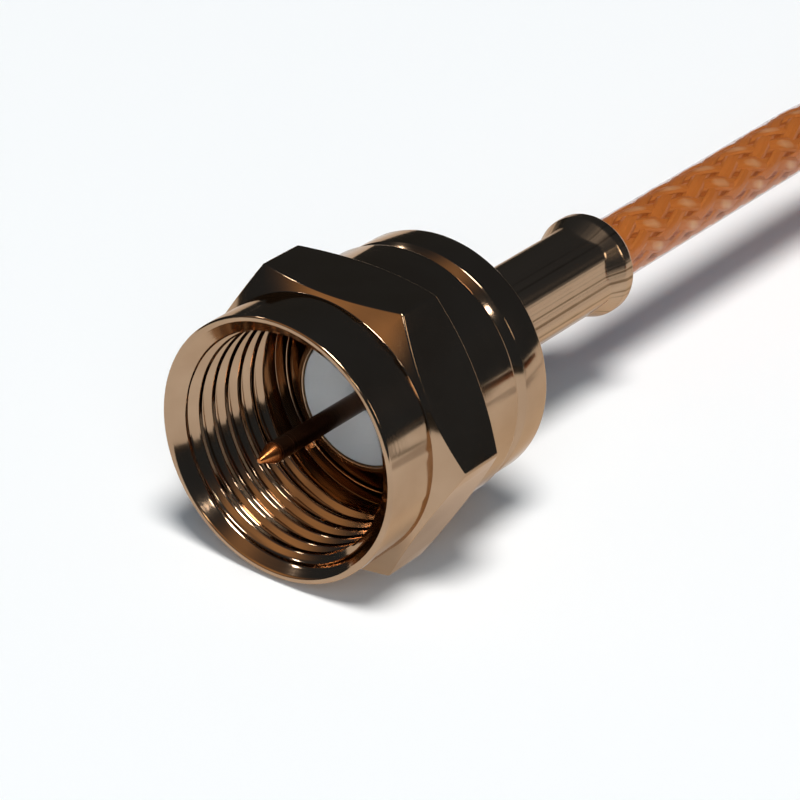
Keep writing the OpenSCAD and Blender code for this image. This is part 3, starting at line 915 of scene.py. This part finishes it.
FLOOR_GLOW, MIRROR_GLOW = 0.02, 0.52
SHEET_FRONT, SHEET_FADE = -35 * MM, 4 * MM
PALE, MIRRORED_PALE, OFF_SHEET = ((grey, grey, grey, 1) for grey in (0.9, 0.4, 0.03))
floor_finish = bpy.data.materials.new("white table")
graph = finish_graph(floor_finish)
ray = graph.node("ShaderNodeLightPath", output="Is Camera Ray")
mirrored = (ray.other("Is Glossy Ray") + ray.other("Is Transmission Ray")).clamp()
place = graph.node("ShaderNodeSeparateXYZ", {}, {
    "Vector": graph.node("ShaderNodeTexCoord", output="Object")})
off_sheet = ((SHEET_FRONT - place.other("Y")) / SHEET_FADE).clamp() * mirrored
matt = graph.node("ShaderNodeBsdfDiffuse", {}, {"Color": graph.mixed(
    off_sheet, graph.mixed(mirrored, PALE, MIRRORED_PALE), OFF_SHEET)})
glow = graph.node("ShaderNodeEmission", {}, {
    "Color": (1, 1, 1, 1), "Strength": ray * FLOOR_GLOW + (mirrored - off_sheet) * MIRROR_GLOW})
seen = graph.node("ShaderNodeAddShader", {}, {0: matt, 1: glow})
graph.node("ShaderNodeOutputMaterial", {}, {"Surface": seen})
floor.data.materials.append(floor_finish)
print("floor at", round(FLOOR_Z / MM, 3), "mm")

# %% Surroundings
FILL, DARK_ROOM = (0.023, 0.05, 0.078, 1), (0.033, 0.044, 0.06, 1)
WARM_ROOM, WHITE = (0.62, 0.38, 0.19, 1), (1, 1, 1, 1)
world = bpy.data.worlds.new("studio")
scene.world = world
world.use_nodes = True
graph = Graph(world.node_tree)


def heading(azimuth, elevation):
    """The unit vector of a direction in degrees. Azimuth is from +Y towards +X."""
    a, e = math.radians(azimuth), math.radians(elevation)
    return Vector((math.sin(a) * math.cos(e), math.cos(a) * math.cos(e), math.sin(e)))


direction = graph.node("ShaderNodeTexCoord", output="Generated")


def lobe(azimuth, elevation, sharpness):
    """1 in one direction of the room, falling smoothly to 0 around it."""
    near = graph.node("ShaderNodeVectorMath", {"operation": "DOT_PRODUCT"},
                      {0: direction, 1: heading(azimuth, elevation)}, output="Value")
    return near.math("MAXIMUM", 0).math("POWER", sharpness)


ray = graph.node("ShaderNodeLightPath", output="Is Camera Ray")
mirrored = ray.other("Is Glossy Ray")
warm = (lobe(180, 24, 60) + lobe(207, 25, 24) + lobe(222, 22, 50) * 0.45
        + lobe(186, 54, 40) * 0.6).clamp()
room = graph.mixed(warm, DARK_ROOM, WARM_ROOM)
colour = graph.mixed(ray, graph.mixed(mirrored, FILL, room), WHITE)
sky = graph.node("ShaderNodeBackground", {}, {"Color": colour, "Strength": 1.0})
graph.node("ShaderNodeOutputWorld", {}, {"Surface": sky})
scene.view_settings.view_transform = "Standard"
print("surroundings ready")

# %% Lamps
def lamp(name, azimuth, elevation, width, radiance, colour=(1, 1, 1),
         distance=0.6, spark=True, mirrored=True):
    """A round lamp of some angular width in degrees. Only reflections see a spark."""
    way = heading(azimuth, elevation)
    light = bpy.data.lights.new(name, "AREA")
    light.shape = "DISK"
    light.size = 2 * distance * math.tan(math.radians(width) / 2)
    light.energy = radiance * math.pi * math.pi * (light.size / 2) ** 2
    light.color = colour
    holder = bpy.data.objects.new(name, light)
    holder.location = way * distance
    holder.rotation_mode = "QUATERNION"
    holder.rotation_quaternion = way.to_track_quat("Z", "Y")
    scene.collection.objects.link(holder)
    holder.visible_camera = False
    holder.visible_transmission = False
    holder.visible_diffuse, holder.visible_glossy = not spark, mirrored
    return holder


lamp("key", 140, 72, 20, 32.0, (1, 0.98, 0.95), distance=2.5, spark=False)
lamp("front", 146, 34, 40, 2.1, (0.72, 0.88, 1.0), distance=2.5, spark=False, mirrored=False)
lamp("flash spark", 148, 35, 5, 18)
lamp("front spark", 173, 18, 5, 10, (1, 0.86, 0.66))
lamp("low spark", -116, 37, 5, 20)
lamp("edge spark", 58, 27, 16, 4, (1, 0.9, 0.75))
